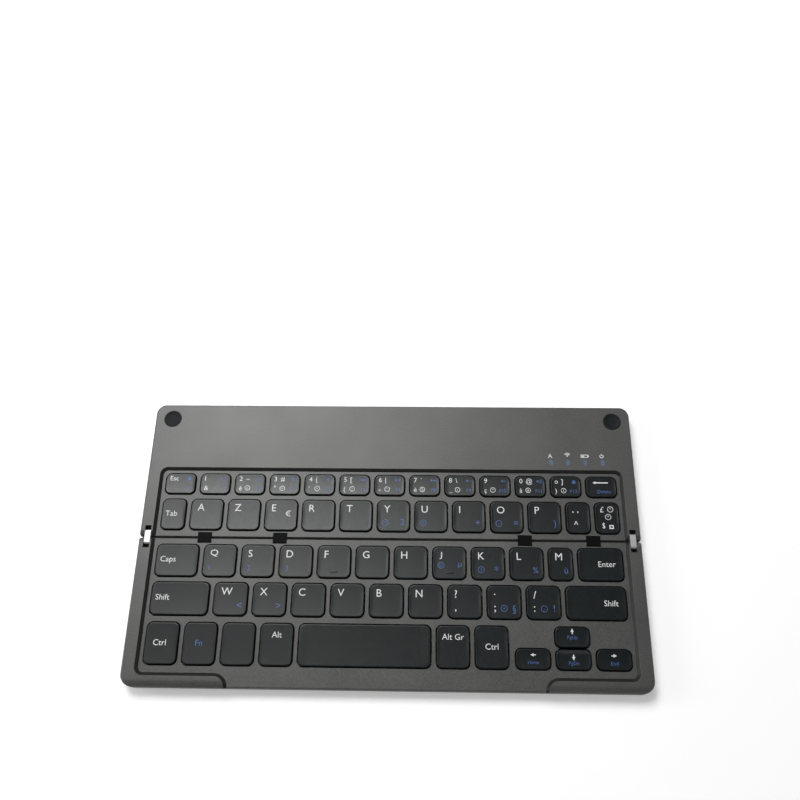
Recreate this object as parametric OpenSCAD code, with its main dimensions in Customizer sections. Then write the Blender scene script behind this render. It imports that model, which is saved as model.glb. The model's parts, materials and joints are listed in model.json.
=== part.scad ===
// Folding keyboard: two shells joined by twin-pivot links, so that the rear half
// turns over and lies flat on the front half.
// X runs along the keyboard, Y from the front edge to the rear edge, Z up.
// The origin is on the seam between the halves, at the underside of the feet.
// Each half is drawn with its depth measured away from the seam, and the front
// half is mirrored into place.

/* [Case] */
// Height of the case, from its underside to the top of its rim
case_h = 7.4; // [7.2:0.1:9]
// Thickness of the side walls
wall = 1.6; // [1.2:0.1:1.8]
// Corner radius of the rear half
rear_corner_r = 5; // [4:0.5:6.5]
// Corner radius of the front half
front_corner_r = 6; // [5:0.5:6.5]
// Rounding of the top edges
top_edge_r = 0.8; // [0.4:0.1:0.9]
// Rounding of the bottom edges
bottom_edge_r = 1.2; // [0.6:0.1:1.4]
// Rounding of the rim's ends and the deck's edges along the seam
seam_edge_r = 3.2; // [2.6:0.1:3.4]
// Gap between the halves when open flat
seam_gap = 0.6; // [0.4:0.1:0.8]

/* [Deck and rim] */
// Width of the rim's flat top along each side
rim_w = 6.25; // [6.1:0.05:7]
// How far the deck lies below the rim's top
deck_drop = 1.4; // [1.2:0.05:1.4]
// Thickness of the deck
deck_t = 1.4; // [1.2:0.1:1.5]
// Run of the sloped wall between rim and deck
slope_run = 1.55; // [1.2:0.05:1.6]
// Corner radius at the foot of the sloped wall
recess_r = 2.4; // [1.5:0.1:3]
// Width of the finger opening in the front rim
opening_w = 148.6; // [120:1:170]
// Radius of the ledge corners beside the finger opening
ledge_r = 5; // [3:0.5:5]
// Depth of the ledges beside the finger opening
ledge_d = 6.75; // [6.5:0.05:10]
// Deck left between the key openings and the sloped wall at each side
side_deck = 1.5; // [0.9:0.1:2]
// Deck left between the number row's openings and the sloped wall
rear_deck = 1.3; // [0.8:0.1:2]
// Deck left between the bottom row's openings and the ledges
front_deck = 3; // [2.4:0.1:4]

/* [Keys] */
// Distance between the centres of two letter keys
key_pitch = 18.95; // [18:0.05:19.2]
// Deck left standing between two key openings
key_web = 1.7; // [1.6:0.1:2.2]
// Clearance all round a key in its opening
key_gap = 0.3; // [0.2:0.05:0.4]
// Corner radius of a key opening
key_opening_r = 3.2; // [2:0.1:4]
// How far a key's top lies below the rim's top
key_sink = 0.5; // [0.2:0.05:0.6]
// How far a key travels
key_travel = 1.4; // [1:0.1:1.5]
// Height of the rounded shoulder of a key
key_shoulder_h = 0.5; // [0.3:0.1:0.7]
// How far the shoulder of a key draws in
key_shoulder_run = 0.5; // [0.3:0.1:0.8]
// How far the upright side of a key leans in
key_draft = 0.1; // [0:0.05:0.2]
// Wall thickness of a key
key_wall = 0.9; // [0.8:0.1:1.1]
// How far a key's retaining tabs reach out
key_tab = 0.6; // [0.45:0.05:0.7]
// Height of a key's retaining tabs
key_tab_h = 0.6; // [0.5:0.05:0.7]
// Length of a key's retaining tabs
key_tab_l = 5; // [4:0.5:6]
// Thickness of a key's top
key_top_t = 1; // [0.8:0.1:1.2]
// Height of the raised bar on the two home keys
home_bar_h = 0.25; // [0.1:0.05:0.3]
// Front edge of a home key to the far side of its bar
home_bar_in = 3.6; // [3:0.1:5]

/* [Key rows] */
// Seam to the first key openings
seam_margin = 3.3; // [3.2:0.1:4]
// Depth of the openings of the letter rows
letter_row_d = 16.9; // [16:0.1:17]
// Depth of the openings of the number row
number_row_d = 11.8; // [10:0.1:12]
// Depth of the openings of the bottom row
bottom_row_d = 20.6; // [19:0.1:21]
// Deck left standing between the letter rows, and before the number row
row_web = 1.85; // [1.6:0.05:2.2]
// Deck left standing between the last letter row and the bottom row
bottom_row_web = 2.4; // [1.8:0.1:2.6]
// Number of keys in the number row
number_keys = 13; // [12:1:14]
// Number of letter keys in the first row behind the seam
rear_letters = 10; // [9:1:10]
// Width of the tabulator key's opening
tab_key_w = 12.9; // [11:0.1:14]
// Width of the capitals lock key's opening
caps_key_w = 21.9; // [20:0.1:24]
// Width of the narrow letter key's opening
narrow_key_w = 12.7; // [11:0.1:14]
// Width of the enter key's opening
enter_key_w = 22.85; // [21:0.05:25]
// Width of the left shift key's opening
shift_key_w = 29.2; // [27:0.1:31]
// Width of the openings of the small keys in the bottom row
modifier_key_w = 16.65; // [15:0.05:16.7]
// Space before the arrow keys, beyond the deck between two keys
arrow_offset = 0.55; // [0.2:0.05:0.8]

/* [Fold] */
// Distance between the two pivots of a link
pivot_d = 4.2; // [4.2:0.1:4.4]
// Gap between the rims when folded shut
closed_gap = 0.3; // [0.2:0.05:0.5]
// Diameter of the hinge pins
pin_d = 1.4; // [1.2:0.1:1.6]
// Length of a hinge pin
pin_l = 5.6; // [5.4:0.1:5.8]
// Running clearance between a pin and its link
pin_clear = 0.05; // [0.02:0.01:0.1]
// Height of a side link
link_h = 3; // [2.4:0.1:3.2]
// Length of a side link beyond each pivot
link_end = 1.65; // [1.5:0.05:1.8]
// Width of a side link
link_w = 2.9; // [2.6:0.1:3.1]
// Clearance on each side of a side link
link_clear = 0.15; // [0.1:0.05:0.25]
// Outer wall outside a side link
link_wall = 2.3; // [2:0.1:2.5]
// Length of a link's slot, from the seam
link_slot_l = 5.65; // [5.2:0.05:6]
// Thickness of the block behind a link's slot
hinge_block_t = 2.25; // [2:0.05:3]
// Outer wall outside a hinge pin
pin_wall = 0.9; // [0.8:0.1:1]

/* [Bridges] */
// Places of the bridge blocks along the keyboard
bridge_x = [-92.3, -54.4, 67.8, 101.7]; // [-110:0.1:110]
// Width of a bridge block
bridge_w = 6.9; // [6:0.1:8]
// Thickness of a bridge block
bridge_t = 1.1; // [0.9:0.05:1.1]
// Diameter of a bridge block's side studs
bridge_stud_d = 0.7; // [0.6:0.05:0.8]
// Length of a bridge block's side studs
bridge_stud_l = 1.2; // [0.8:0.1:1.6]
// Clearance round a bridge block
bridge_clear = 0.12; // [0.1:0.01:0.15]

/* [Underside and inside] */
// Height of the rubber feet
foot_h = 0.8; // [0.6:0.1:1.2]
// Diameter of the rubber feet
foot_d = 8; // [6:0.5:10]
// Depth of a foot's seat in the cover
foot_seat = 0.3; // [0.2:0.1:0.5]
// Thickness of the bottom covers
cover_t = 1.2; // [1.2:0.1:1.5]
// Gap all round a bottom cover
cover_gap = 0.15; // [0.1:0.05:0.3]
// Thickness of the steel key plates
plate_t = 0.4; // [0.3:0.05:0.5]
// Thickness of the switch membranes
membrane_t = 0.2; // [0.15:0.05:0.3]
// Diameter of a rubber dome at its base
dome_d = 5.6; // [5:0.1:6]
// Diameter of a rubber dome's top and of the plunger on it
dome_top_d = 3.4; // [3:0.1:3.8]
// Diameter of the screw bosses
boss_d = 5; // [4.8:0.1:5.2]
// Diameter of the screws
screw_d = 1.6; // [1.4:0.1:1.8]
// Diameter of the screw heads
screw_head_d = 3.2; // [2.8:0.1:3.4]
// Height of the screw heads
screw_head_h = 0.6; // [0.5:0.1:0.6]
// Length of the screw shanks
screw_l = 3.6; // [3:0.1:3.8]
// Seam to the middle screws
mid_screw_v = 38.8; // [36:0.1:42]
// Outer edges to the outer screws
screw_y_in = 7; // [6:0.1:8]
// Feet's centres to the keyboard's ends
foot_x_in = 15; // [14:0.5:20]
// Feet's centres to the seam and to the outer edges
foot_y_in = 12; // [10:0.5:16]

/* [Rear band] */
// Thickness of the rear band's top
band_t = 1.5; // [1.2:0.1:1.6]
// Diameter of the rubber bumpers
bumper_d = 9.2; // [8:0.1:10]
// Bumper centre to the keyboard's end
bumper_x_in = 9.2; // [8:0.1:12]
// Bumper centre to the keyboard's rear edge
bumper_y_in = 8.1; // [7:0.1:10]
// Width of a status lens
lens_w = 2; // [1.6:0.1:2.4]
// Length of a status lens
lens_l = 3.1; // [2.6:0.1:3.6]
// Distance between two status lenses
lens_pitch = 8.8; // [8:0.1:10]
// Number of status lenses
lens_n = 4; // [3:1:4]
// Last status lens to the keyboard's end
lens_x_in = 15.8; // [14:0.1:20]
// Status lens centre to the keyboard's rear edge
lens_y_in = 30.9; // [29:0.1:32]
// Battery's end to the keyboard's end
battery_x_in = 25.5; // [20:0.5:36]
// Width of the battery
battery_w = 95; // [80:1:100]
// Depth of the battery
battery_d = 26; // [22:1:28]
// Thickness of the battery
battery_t = 3.6; // [3:0.1:4]
// Circuit board's end to the keyboard's end
board_x_in = 7; // [7:0.5:12]
// Width of the circuit board
board_w = 88; // [80:1:90]
// Depth of the circuit board
board_d = 30.5; // [30:0.5:31]
// Thickness of the circuit board
board_t = 0.8; // [0.6:0.1:1]
// Middle of the charging socket to the keyboard's end
socket_x_in = 65; // [50:1:75]
// Width of the charging socket
socket_w = 8.94; // [8.9:0.01:9]
// Height of the charging socket
socket_h = 3.2; // [3.1:0.01:3.3]
// Depth of the charging socket
socket_l = 7.4; // [6.5:0.1:8]
// Diameter of the closing magnets
magnet_d = 8; // [6:0.5:8]
// Thickness of the closing magnets
magnet_t = 1.8; // [1:0.1:2]
// Magnet centre to the keyboard's end
magnet_x_in = 15; // [13:0.5:18]
// Magnet centre to the keyboard's rear edge
magnet_y_in = 10; // [8:0.5:14]

/* [Hidden] */
$fn = 48;
eps = 0.01;
big = 400;

// The keys set the keyboard's size: the home row gives the width of the field of keys,
// the front half's three rows give the depth of a half, and deck, slope and rim come round it
home_row_names = ["key_caps", "key_q", "key_s", "key_d", "key_f", "key_g", "key_h",
    "key_j", "key_k", "key_l", "key_m", "key_enter"];
home_letters = len(home_row_names) - 3;
key_opening_w = key_pitch - key_web;
field_w = caps_key_w + narrow_key_w + enter_key_w + 2 * key_web + home_letters * key_pitch;
deck_half_w = field_w / 2 + side_deck;
case_w = 2 * (deck_half_w + slope_run + rim_w);
row_2_v = seam_margin + letter_row_d + row_web;
bottom_row_v = row_2_v + letter_row_d + bottom_row_web;
rear_deck_v = row_2_v + number_row_d + rear_deck;
front_deck_v = bottom_row_v + bottom_row_d + front_deck;
half_d = front_deck_v + ledge_d;
opening_half_w = opening_w / 2;

// Heights
case_z = foot_h;
rim_z = case_z + case_h;
deck_z = rim_z - deck_drop;
deck_low_z = deck_z - deck_t;
band_low_z = rim_z - band_t;
cover_z = case_z + cover_t;

// Keys hang below the deck by their tabs, and the stack below leaves them their travel
key_z = rim_z - key_sink;
tab_gap = 0.1;
key_low_z = deck_low_z - tab_gap - key_tab_h;
press_gap = 0.3;
stack_z = key_low_z - key_travel - press_gap;
membrane_z = stack_z - membrane_t;
plate_z = membrane_z - plate_t;
dome_top_z = key_low_z + 0.5;
dome_lip = 0.4;

// Fold
pivot_v = pivot_d / 2;
pivot_z = rim_z - (pivot_d - closed_gap) / 2;
seam_round_v = seam_edge_r + closed_gap / 2;
seam_round_z = rim_z - seam_edge_r;
seam_v = seam_gap / 2;
slot_w = link_w + 2 * link_clear;
slot_out_x = case_w / 2 - link_wall;
link_corner_r = 1;
link_reach_r = link_corner_r + norm([link_end - link_corner_r, link_h / 2 - link_corner_r]);
slot_floor_z = pivot_z - link_reach_r - 0.3;
pin_out_x = case_w / 2 - pin_wall;
hinge_block_v = link_slot_l + hinge_block_t;
seam_wall_v = seam_margin - 0.4;
cover_v = seam_v + 1.2;
rib_t = 1.2;

// Widths of the key openings in each row, from left to right
function total(list, n) = n <= 0 ? 0 : list[n - 1] + total(list, n - 1);
function opening_x(widths, i, start = -field_w / 2) =
    start + total(widths, i) + i * key_web + widths[i] / 2;

// The number keys share the field's width equally, in whole hundredths
number_key_w = floor(100 * (field_w + key_web) / number_keys) / 100 - key_web;
number_row_w = [for (i = [1 : number_keys]) number_key_w];
number_row_x0 = key_web / 2 - number_keys * (number_key_w + key_web) / 2;
rear_rest_w = field_w - tab_key_w - key_web - rear_letters * key_pitch;
letter_row_w = concat([tab_key_w],
    [for (i = [1 : rear_letters]) key_opening_w],
    [for (i = [1 : 2]) (rear_rest_w - key_web) / 2]);

home_row_w = concat([caps_key_w], [for (i = [1 : home_letters]) key_opening_w],
    [narrow_key_w, enter_key_w]);

shift_row_names = ["key_left_shift", "key_w", "key_x", "key_c", "key_v", "key_b",
    "key_n", "key_comma", "key_period", "key_slash", "key_right_shift"];
shift_letters = len(shift_row_names) - 2;
shift_row_w = concat([shift_key_w], [for (i = [1 : shift_letters]) key_opening_w],
    [field_w - shift_key_w - key_web - shift_letters * key_pitch]);

bottom_row_names = ["key_left_ctrl", "key_fn", "key_system", "key_alt", "key_space",
    "key_alt_gr", "key_right_ctrl"];
arrow_columns = 3;
arrow_x0 = field_w / 2 - arrow_columns * key_pitch + key_web;
space_key_w = arrow_x0 - arrow_offset + field_w / 2
    - (len(bottom_row_names) - 1) * modifier_key_w - len(bottom_row_names) * key_web;
bottom_row_w = [for (name = bottom_row_names)
    name == "key_space" ? space_key_w : modifier_key_w];

// The arrow keys: two short keys beside a stacked pair
arrow_names = ["key_left", "key_up", "key_down", "key_right"];
function arrow_x(column) = arrow_x0 + column * key_pitch + key_opening_w / 2;
stack_split = key_gap;
arrow_cap_d = (bottom_row_d - 2 * key_gap - stack_split) / 2;
arrow_opening_d = arrow_cap_d + 2 * key_gap;
arrow_front_v = bottom_row_v + bottom_row_d - arrow_opening_d / 2;
arrow_rear_v = bottom_row_v + arrow_opening_d / 2;

// Every key of a half as [x, v, opening width, opening depth]
home_row = [for (i = [0 : len(home_row_names) - 1])
    [opening_x(home_row_w, i), seam_margin + letter_row_d / 2, home_row_w[i], letter_row_d]];
shift_row = [for (i = [0 : len(shift_row_names) - 1])
    [opening_x(shift_row_w, i), row_2_v + letter_row_d / 2, shift_row_w[i], letter_row_d]];
bottom_row = [for (i = [0 : len(bottom_row_names) - 1])
    [opening_x(bottom_row_w, i), bottom_row_v + bottom_row_d / 2, bottom_row_w[i], bottom_row_d]];
arrow_keys = [
    [arrow_x(0), arrow_front_v, key_opening_w, arrow_opening_d],
    [arrow_x(1), arrow_rear_v, key_opening_w, arrow_opening_d],
    [arrow_x(1), arrow_front_v, key_opening_w, arrow_opening_d],
    [arrow_x(2), arrow_front_v, key_opening_w, arrow_opening_d]];
number_row = [for (i = [0 : number_keys - 1])
    [opening_x(number_row_w, i, number_row_x0), row_2_v + number_row_d / 2, number_key_w, number_row_d]];
letter_row = [for (i = [0 : len(letter_row_w) - 1])
    [opening_x(letter_row_w, i), seam_margin + letter_row_d / 2, letter_row_w[i], letter_row_d]];

front_keys = concat(home_row, shift_row, bottom_row, arrow_keys);
front_key_names = concat(home_row_names, shift_row_names, bottom_row_names, arrow_names);
rear_keys = concat(number_row, letter_row);
home_bar_keys = ["key_f", "key_j"];

// Places that repeat
boss_merge = 0.2;
screw_x = case_w / 2 - wall - boss_d / 2 + boss_merge;
boss_gap = 0.6;
screw_v = [hinge_block_v + boss_d / 2 + boss_gap, mid_screw_v, half_d - screw_y_in];
foot_x = case_w / 2 - foot_x_in;
foot_v = [foot_y_in, half_d - foot_y_in];
magnet_x = case_w / 2 - magnet_x_in;
magnet_v = half_d - magnet_y_in;
magnet_z = band_low_z - magnet_t;
plate_gap = 0.4;
plate_half_w = screw_x - boss_d / 2 - plate_gap;
plate_r = 1.5;
board_x = case_w / 2 - board_x_in - board_w / 2;
board_v = half_d - wall - plate_gap - board_d / 2;
board_z = stack_z;
board_post_h = board_z - cover_z;
led_h = 0.9;
lens_x = case_w / 2 - lens_x_in - (lens_n - 1) * lens_pitch;
lens_v = half_d - lens_y_in;
battery_gap = 1.2;
battery_x = -case_w / 2 + battery_x_in + battery_w / 2;
battery_v = half_d - wall - battery_gap - battery_d / 2;
socket_x = case_w / 2 - socket_x_in;
socket_mount_t = 0.25;
socket_z = board_z + board_t + 2 * socket_mount_t;

BASE_NODES = ["lower_case", "lower_bottom_cover", "lower_key_plate", "lower_membrane",
    "lower_domes", "lower_feet", "lower_screws", "lower_hinge_pins",
    "side_hinge_links", "cable_bridges",
    "upper_case", "upper_bottom_cover", "upper_key_plate", "upper_membrane",
    "upper_domes", "upper_feet", "upper_screws", "upper_hinge_pins",
    "battery", "circuit_board", "charging_socket", "status_lenses",
    "closing_bumpers", "closing_magnets", "number_row_keys", "letter_row_keys"];

// Shapes

// Rounded rectangle centred on the origin
module round_rect(w, d, r) {
    square([w - 2 * r, d], center = true);
    square([w, d - 2 * r], center = true);
    for (x = [-1, 1], y = [-1, 1])
        translate([x * (w / 2 - r), y * (d / 2 - r)]) circle(r);
}

// Rounded block whose sides lean in by inset on the way from z0 to z1
module round_frustum(w, d, r, inset, z0, z1) {
    side = [[-1, z0], [1, z0], [1, z1], [-1, z1]];
    function outline(half) = [for (p = side) [p[0] * (half - (p[1] == z1 ? inset : 0)), p[1]]];
    translate([0, d / 2 - r, 0]) rotate([90, 0, 0])
        linear_extrude(d - 2 * r) polygon(outline(w / 2));
    translate([-(w / 2 - r), 0, 0]) rotate([90, 0, 90])
        linear_extrude(w - 2 * r) polygon(outline(d / 2));
    for (x = [-1, 1], y = [-1, 1])
        translate([x * (w / 2 - r), y * (d / 2 - r), z0])
            cylinder(h = z1 - z0, r1 = r, r2 = r - inset);
}

// Section through the case's edge band, x inward from the outer face
module edge_section(w) {
    difference() {
        translate([0, case_z]) square([w, case_h]);
        edge_cutter(top_edge_r, rim_z, 1);
        edge_cutter(bottom_edge_r, case_z, -1);
    }
}

// What rounding takes off one edge of the band
module edge_cutter(r, z, side) {
    translate([0, z]) scale([1, side]) difference() {
        translate([-1, -r]) square([r + 1, r + 1]);
        translate([r, -r]) circle(r);
    }
}

// One half's outer block: straight edge bands, turned corners and a plain core
module case_block(r) {
    side_l = half_d - r - seam_v;
    translate([-(case_w / 2 - r), seam_v, case_z])
        cube([case_w - 2 * r, side_l, case_h]);
    for (m = [0, 1]) mirror([m, 0, 0]) {
        translate([-case_w / 2, half_d - r, 0]) rotate([90, 0, 0])
            linear_extrude(side_l) edge_section(r);
        translate([case_w / 2 - r, half_d - r, 0])
            rotate_extrude(angle = 90) translate([r, 0]) mirror([1, 0]) edge_section(r);
    }
    translate([-(case_w / 2 - r), half_d, 0]) rotate([90, 0, 90])
        linear_extrude(case_w - 2 * r) mirror([1, 0]) edge_section(r);
}

// Material that is taken off for the rounded edges along the seam and its outer corners
module seam_rounding() {
    difference() {
        translate([-case_w, -1, seam_round_z]) cube([2 * case_w, seam_round_v + 1, big]);
        translate([-case_w, seam_round_v, seam_round_z]) rotate([0, 90, 0])
            cylinder(h = 2 * case_w, r = seam_edge_r);
    }
    for (m = [0, 1]) mirror([m, 0, 0]) translate([case_w / 2 - top_edge_r, seam_v + top_edge_r, 0])
        linear_extrude(big) difference() {
            translate([0, -2]) square([2, 2]);
            circle(top_edge_r);
        }
}

// Pocket from the deck up between v0 and v1, flaring to the rim's top and on above it
module flared_pocket(w, v0, v1) {
    z1 = rim_z + 1;
    run = slope_run * (z1 - deck_z) / deck_drop;
    translate([0, (v0 + v1) / 2, 0])
        round_frustum(w, v1 - v0, recess_r, -run, deck_z, z1);
}

// Openings through the deck for a list of keys
module key_openings(keys) {
    translate([0, 0, deck_low_z - 1]) linear_extrude(big)
        for (k = keys) translate([k[0], k[1]]) round_rect(k[2], k[3], key_opening_r);
}

// Notches and stud holes for the bridge blocks
module bridge_cuts() {
    notch_w = bridge_w + 2 * bridge_clear;
    notch_l = pivot_v + bridge_t / 2 + bridge_clear;
    hole_r = bridge_stud_d / 2 + pin_clear;
    hole_l = notch_w + 2 * (bridge_stud_l + bridge_clear);
    for (x = bridge_x) {
        translate([x - notch_w / 2, -1, pivot_z - bridge_t / 2 - bridge_clear])
            cube([notch_w, notch_l + 1, big]);
        translate([x - hole_l / 2, pivot_v, pivot_z]) rotate([0, 90, 0])
            cylinder(h = hole_l, r = hole_r);
    }
}

// Slots for the side links and the blind holes for their pins
module link_cuts() {
    for (m = [0, 1]) mirror([m, 0, 0]) {
        translate([slot_out_x - slot_w, -1, slot_floor_z])
            cube([slot_w, link_slot_l + 1, big]);
        translate([pin_out_x - pin_l, pivot_v, pivot_z]) rotate([0, 90, 0])
            cylinder(h = pin_l, r = pin_d / 2);
    }
}

// Plan of a half's inside, and of its cover, at a distance in from the outer faces
module inside_plan(inset, v0, r) {
    w = case_w - 2 * inset;
    v1 = half_d - inset;
    difference() {
        round_rect(w, 2 * v1, r - inset);
        translate([-case_w, v0 - 2 * big]) square([2 * case_w, 2 * big]);
    }
}

// Bosses and solid blocks that stay inside both halves
module case_bosses(top_z) {
    for (m = [0, 1]) mirror([m, 0, 0]) {
        for (v = screw_v) translate([screw_x, v, cover_z]) cylinder(h = top_z - cover_z, d = boss_d);
        translate([deck_half_w, 0, stack_z])
            cube([case_w / 2 - deck_half_w, hinge_block_v, top_z - stack_z]);
    }
}

// Rib that presses the membrane's edge down on the key plate
module clamp_rib(v1) {
    w = 2 * deck_half_w - plate_gap;
    translate([0, 0, stack_z]) linear_extrude(deck_z - stack_z) difference() {
        translate([-w / 2 - rib_t, 0]) square([w + 2 * rib_t, v1 + rib_t]);
        translate([-w / 2, -1]) square([w, v1 + 1]);
    }
}

module screw_holes() {
    for (x = [-1, 1], v = screw_v) translate([x * screw_x, v, cover_z - eps])
        cylinder(h = screw_l, d = screw_d + 0.1);
}

// Parts of the front half, drawn away from the seam and mirrored by lower()
module lower() {
    mirror([0, 1, 0]) children();
}

module lower_case() {
    color([0.36, 0.36, 0.35]) lower() difference() {
        case_block(front_corner_r);
        seam_rounding();
        front_recess();
        key_openings(front_keys);
        bridge_cuts();
        link_cuts();
        translate([0, 0, case_z - 1]) linear_extrude(cover_t + 1)
            inside_plan(wall, cover_v, front_corner_r);
        difference() {
            translate([0, 0, cover_z - eps]) linear_extrude(deck_low_z - cover_z + eps)
                inside_plan(wall, seam_wall_v, front_corner_r);
            case_bosses(deck_z);
            clamp_rib(front_deck_v - 1);
        }
        screw_holes();
    }
}

// The sunk deck of the front half runs out between two rounded ledges
module front_recess() {
    flared_pocket(2 * deck_half_w, -front_deck_v, front_deck_v);
    flared_pocket(opening_w, row_2_v, 2 * half_d);
    for (m = [0, 1]) mirror([m, 0, 0]) ledge_corner_cut();
    translate([-opening_half_w, half_d, 0]) rotate([90, 0, 90])
        linear_extrude(2 * opening_half_w) mirror([1, 0]) edge_cutter(top_edge_r, deck_z, 1);
}

// Rounds the inner rear corner of a ledge, keeping the wall's slope
module ledge_corner_cut() {
    rise = 1;
    run = slope_run * (deck_drop + rise) / deck_drop;
    foot_r = ledge_r + slope_run;
    translate([opening_half_w + foot_r, front_deck_v + foot_r, deck_z]) difference() {
        translate([-foot_r - 1, -foot_r - 1, 0]) cube([foot_r + 1, foot_r + 1, deck_drop + rise]);
        translate([0, 0, -eps]) cylinder(h = deck_drop + rise + 2 * eps, r1 = foot_r, r2 = foot_r - run);
    }
}

module upper_case() {
    color([0.36, 0.36, 0.35]) difference() {
        case_block(rear_corner_r);
        seam_rounding();
        flared_pocket(2 * deck_half_w, -rear_deck_v, rear_deck_v);
        key_openings(rear_keys);
        bridge_cuts();
        link_cuts();
        translate([0, 0, case_z - 1]) linear_extrude(cover_t + 1)
            inside_plan(wall, cover_v, rear_corner_r);
        difference() {
            translate([0, 0, cover_z - eps]) linear_extrude(deck_low_z - cover_z + eps)
                inside_plan(wall, seam_wall_v, rear_corner_r);
            case_bosses(deck_z);
            clamp_rib(rear_deck_v - 0.6);
        }
        difference() {
            translate([0, 0, deck_low_z - eps]) linear_extrude(band_low_z - deck_low_z + eps)
                inside_plan(wall + 0.6, rear_deck_v + slope_run + 1.2, rear_corner_r);
            case_bosses(rim_z);
            magnet_cups();
        }
        screw_holes();
        bumper_seats();
        lens_slots();
        socket_mouth();
    }
}

module magnet_cups() {
    for (x = [-1, 1]) translate([x * magnet_x, magnet_v, magnet_z])
        difference() {
            cylinder(h = magnet_t + 1, d = magnet_d + 2);
            translate([0, 0, -eps]) cylinder(h = magnet_t + eps, d = magnet_d + 0.1);
        }
}

module bumper_seats() {
    for (x = [-1, 1]) translate([x * (case_w / 2 - bumper_x_in), half_d - bumper_y_in, deck_z])
        cylinder(h = big, d = bumper_d + 0.1);
}

module lens_slots() {
    for (i = [0 : lens_n - 1]) translate([lens_x + i * lens_pitch, lens_v, band_low_z - 1])
        linear_extrude(big) round_rect(lens_w + 0.1, lens_l + 0.1, 0.45);
}

// Upright outline with half-round ends, looking at the rear edge
module socket_outline(grow) {
    h = socket_h + 2 * grow;
    square([socket_w - socket_h, h], center = true);
    for (x = [-1, 1]) translate([x * (socket_w - socket_h) / 2, 0]) circle(d = h);
}

module socket_mouth() {
    translate([socket_x, half_d + 1, socket_z]) rotate([90, 0, 0])
        linear_extrude(wall + 2) socket_outline(0.15);
}

// Bottom cover with ribs below the key plate, screw holes and foot seats
module bottom_cover(r, rib_v) {
    rib_w = 2 * deck_half_w - 6;
    difference() {
        union() {
            translate([0, 0, case_z]) linear_extrude(cover_t)
                inside_plan(wall + cover_gap, cover_v + cover_gap, r);
            for (v = rib_v) translate([-rib_w / 2, v - rib_t / 2, cover_z - eps])
                cube([rib_w, rib_t, plate_z - cover_z + eps]);
        }
        for (x = [-1, 1], v = screw_v) translate([x * screw_x, v, case_z - 1]) {
            cylinder(h = big, d = screw_d + 0.3);
            cylinder(h = 1 + screw_head_h, d = screw_head_d + 0.3);
        }
        for (x = [-1, 1], v = foot_v) translate([x * foot_x, v, case_z - 1])
            cylinder(h = 1 + foot_seat, d = foot_d + 0.1);
    }
}

module lower_bottom_cover() {
    rows = [bottom_row_v - bottom_row_web / 2, row_2_v - row_web / 2];
    color([0.16, 0.16, 0.16]) lower()
        bottom_cover(front_corner_r, concat([seam_margin + 1], rows, [front_deck_v]));
}

module upper_bottom_cover() {
    rows = [row_2_v - row_web / 2];
    color([0.16, 0.16, 0.16]) {
        bottom_cover(rear_corner_r, concat([seam_margin + 1], rows, [rear_deck_v - 3]));
        for (x = [-1, 1], y = [-1, 1])
            translate([board_x + x * (board_w / 2 - 3), board_v + y * (board_d / 2 - 3), cover_z - eps])
                cylinder(h = board_post_h + eps, d = 3);
    }
}

// Feet, screws and pins come in equal sets for both halves
module feet() {
    color([0.08, 0.08, 0.08]) for (x = [-1, 1], v = foot_v) translate([x * foot_x, v, 0])
        cylinder(h = foot_h + foot_seat, d = foot_d);
}

module screws() {
    head_z = case_z + screw_head_h;
    color([0.3, 0.3, 0.32]) for (x = [-1, 1], v = screw_v) translate([x * screw_x, v, head_z]) {
        difference() {
            translate([0, 0, -screw_head_h + 0.1]) cylinder(h = screw_head_h - 0.1, d = screw_head_d);
            for (a = [0, 90]) rotate([0, 0, a])
                translate([-0.9, -0.2, -screw_head_h]) cube([1.8, 0.4, 0.45]);
        }
        translate([0, 0, -eps]) cylinder(h = screw_l, d = screw_d);
    }
}

module hinge_pins() {
    color([0.75, 0.75, 0.77]) for (m = [0, 1]) mirror([m, 0, 0])
        translate([pin_out_x - pin_l, pivot_v, pivot_z]) rotate([0, 90, 0])
            cylinder(h = pin_l, d = pin_d);
}

module lower_feet() lower() feet();
module upper_feet() feet();
module lower_screws() lower() screws();
module upper_screws() screws();
module lower_hinge_pins() lower() hinge_pins();
module upper_hinge_pins() hinge_pins();

// Bright links in the rim's slots, each with a bore on both pivot axes
module side_hinge_links() {
    link_l = pivot_d + 2 * link_end;
    color([0.82, 0.82, 0.83]) for (m = [0, 1]) mirror([m, 0, 0])
        translate([slot_out_x - link_clear - link_w, 0, pivot_z]) rotate([90, 0, 90])
            linear_extrude(link_w) difference() {
                round_rect(link_l, link_h, link_corner_r);
                for (s = [-1, 1]) translate([s * pivot_v, 0]) circle(pin_d / 2 + pin_clear);
            }
}

// Black blocks that carry the cable across the seam, with studs on both pivot axes
module cable_bridges() {
    stud_l = bridge_w + 2 * bridge_stud_l;
    color([0.05, 0.05, 0.05]) for (x = bridge_x) translate([x, 0, pivot_z]) {
        rotate([90, 0, 90]) translate([0, 0, -bridge_w / 2]) linear_extrude(bridge_w) {
            square([pivot_d, bridge_t], center = true);
            for (s = [-1, 1]) translate([s * pivot_v, 0]) circle(bridge_t / 2);
        }
        for (s = [-1, 1]) translate([-stud_l / 2, s * pivot_v, 0]) rotate([0, 90, 0])
            cylinder(h = stud_l, d = bridge_stud_d);
    }
}

// Steel plate below a half's keys, with the hooks' windows punched out
module key_plate(keys, v1) {
    v0 = seam_margin - 0.1;
    window_w = 2;
    window_l = 4;
    color([0.55, 0.56, 0.58]) translate([0, 0, plate_z]) linear_extrude(plate_t) difference() {
        translate([0, (v0 + v1) / 2]) round_rect(2 * plate_half_w, v1 - v0, plate_r);
        for (k = keys, s = [-1, 1]) translate([k[0] + s * (k[2] / 2 - 2.2), k[1]])
            square([window_w, window_l], center = true);
    }
}

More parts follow.
